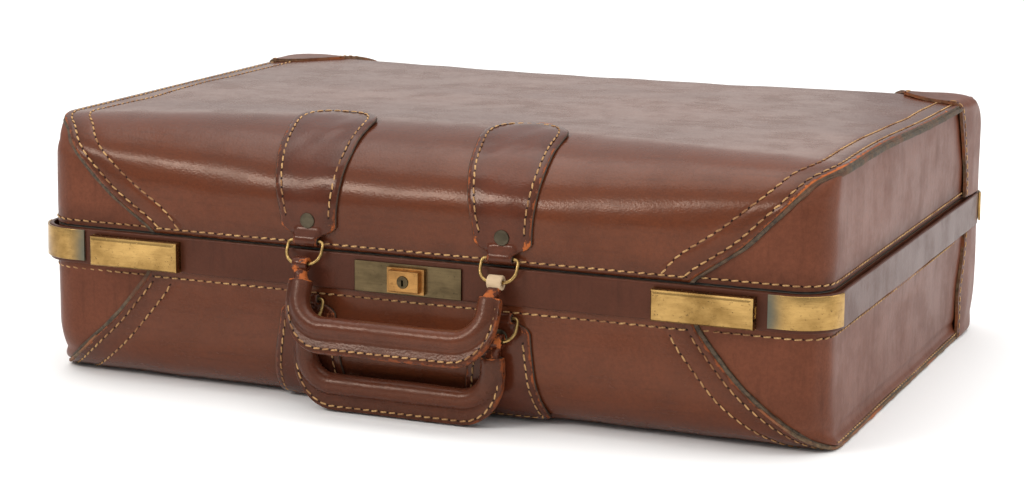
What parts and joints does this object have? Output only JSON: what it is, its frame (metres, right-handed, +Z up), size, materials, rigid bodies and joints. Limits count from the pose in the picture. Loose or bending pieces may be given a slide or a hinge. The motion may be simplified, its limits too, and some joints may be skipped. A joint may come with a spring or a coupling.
{
  "type": "leather suitcase",
  "caption": "Flat framed suitcase in stitched brown leather, with a hinged lid, brass corner straps, swing catches, a slide lock and paired handles.",
  "frame": {"origin": "centre of the flat underside of the body", "axes": "+X along the length to the right seen from the handles, +Y from the handles to the hinges, +Z up through the lid"},
  "size_m": [0.6094, 0.5043, 0.1943],
  "materials": {
    "leather": "worn glossy saddle leather",
    "handle_leather": "polished dark saddle leather",
    "band_leather": "smooth dark leather",
    "lining": "plain woven cotton",
    "brass": "worn and pitted brass",
    "bronze": "dull tarnished bronze",
    "dark_rivet": "dark tarnished brass",
    "steel": "plain rolled steel"
  },
  "bodies": {
    "body": {"body_band": "band_leather", "body_end_left": "leather", "body_end_right": "leather", "body_frame": "steel", "body_hinge_leaf_left": "brass", "body_hinge_leaf_right": "brass", "body_lining": "lining", "body_rear_patch_left": "leather", "body_rear_patch_right": "leather", "body_tab_left": "leather", "body_tab_right": "leather", "body_tab_rivet_left": "dark_rivet", "body_tab_rivet_right": "dark_rivet", "body_wrap_panel": "leather", "catch_base_left": "brass", "catch_base_right": "brass", "catch_pin_left": "steel", "catch_pin_right": "steel", "corner_guard_front_left": "brass", "corner_guard_front_right": "brass", "corner_guard_rear_left": "brass", "corner_guard_rear_right": "brass", "hinge_pin_left": "steel", "hinge_pin_right": "steel", "lock_case": "steel", "lock_plate": "bronze"},
    "lid": {"lid_end_left": "leather", "lid_end_right": "leather", "lid_frame": "steel", "lid_hasp": "brass", "lid_hinge_leaf_left": "brass", "lid_hinge_leaf_right": "brass", "lid_lining": "lining", "lid_rear_patch_left": "leather", "lid_rear_patch_right": "leather", "lid_tab_left": "leather", "lid_tab_right": "leather", "lid_tab_rivet_left": "dark_rivet", "lid_tab_rivet_right": "dark_rivet", "lid_wrap_panel": "leather"},
    "catch_left": {"catch_lever_left": "brass"},
    "catch_right": {"catch_lever_right": "brass"},
    "lock_slider": {"lock_slider": "brass", "lock_bolt": "steel"},
    "key_barrel": {"key_barrel": "bronze"},
    "upper_rings": {"upper_ring_left": "brass", "upper_ring_right": "brass"},
    "upper_handle": {"upper_handle": "handle_leather"},
    "lower_rings": {"lower_ring_left": "brass", "lower_ring_right": "brass"},
    "lower_handle": {"lower_handle": "handle_leather"}
  },
  "joints": [
    {"name": "lid_hinge", "type": "hinge", "parent": "body", "child": "lid", "pos_m": [0, 0.2344, 0.1127], "axis": [-1, 0, 0], "range_deg": [0, 100]},
    {"name": "catch_left_swing", "type": "hinge", "parent": "body", "child": "catch_left", "pos_m": [-0.25, -0.2354, 0.098], "axis": [0, 0, -1], "range_deg": [0, 70]},
    {"name": "catch_right_swing", "type": "hinge", "parent": "body", "child": "catch_right", "pos_m": [0.25, -0.2354, 0.098], "axis": [0, 0, 1], "range_deg": [0, 70]},
    {"name": "lock_slide", "type": "slide", "parent": "body", "child": "lock_slider", "axis": [1, 0, 0], "range_m": [0, 0.006], "stiffness_N_per_m": 250},
    {"name": "key_turn", "type": "hinge", "parent": "lock_slider", "child": "key_barrel", "pos_m": [0, -0.2405, 0.0975], "axis": [0, 1, 0], "range_deg": [0, 90]},
    {"name": "upper_rings_swing", "type": "hinge", "parent": "lid", "child": "upper_rings", "pos_m": [0, -0.2327, 0.119], "axis": [-1, 0, 0], "range_deg": [0, 90]},
    {"name": "upper_handle_swing", "type": "hinge", "parent": "upper_rings", "child": "upper_handle", "pos_m": [0, -0.24042, 0.10385], "axis": [-1, 0, 0], "range_deg": [0, 60]},
    {"name": "lower_rings_swing", "type": "hinge", "parent": "body", "child": "lower_rings", "pos_m": [0, -0.2327, 0.078], "axis": [-1, 0, 0], "range_deg": [0, 90]},
    {"name": "lower_handle_swing", "type": "hinge", "parent": "lower_rings", "child": "lower_handle", "pos_m": [0, -0.24042, 0.06285], "axis": [-1, 0, 0], "range_deg": [0, 60]}
  ],
  "couplings": [
    {"joint": "lower_rings_swing", "follows": "upper_rings_swing", "ratio": 1},
    {"joint": "lower_handle_swing", "follows": "upper_handle_swing", "ratio": 1}
  ]
}
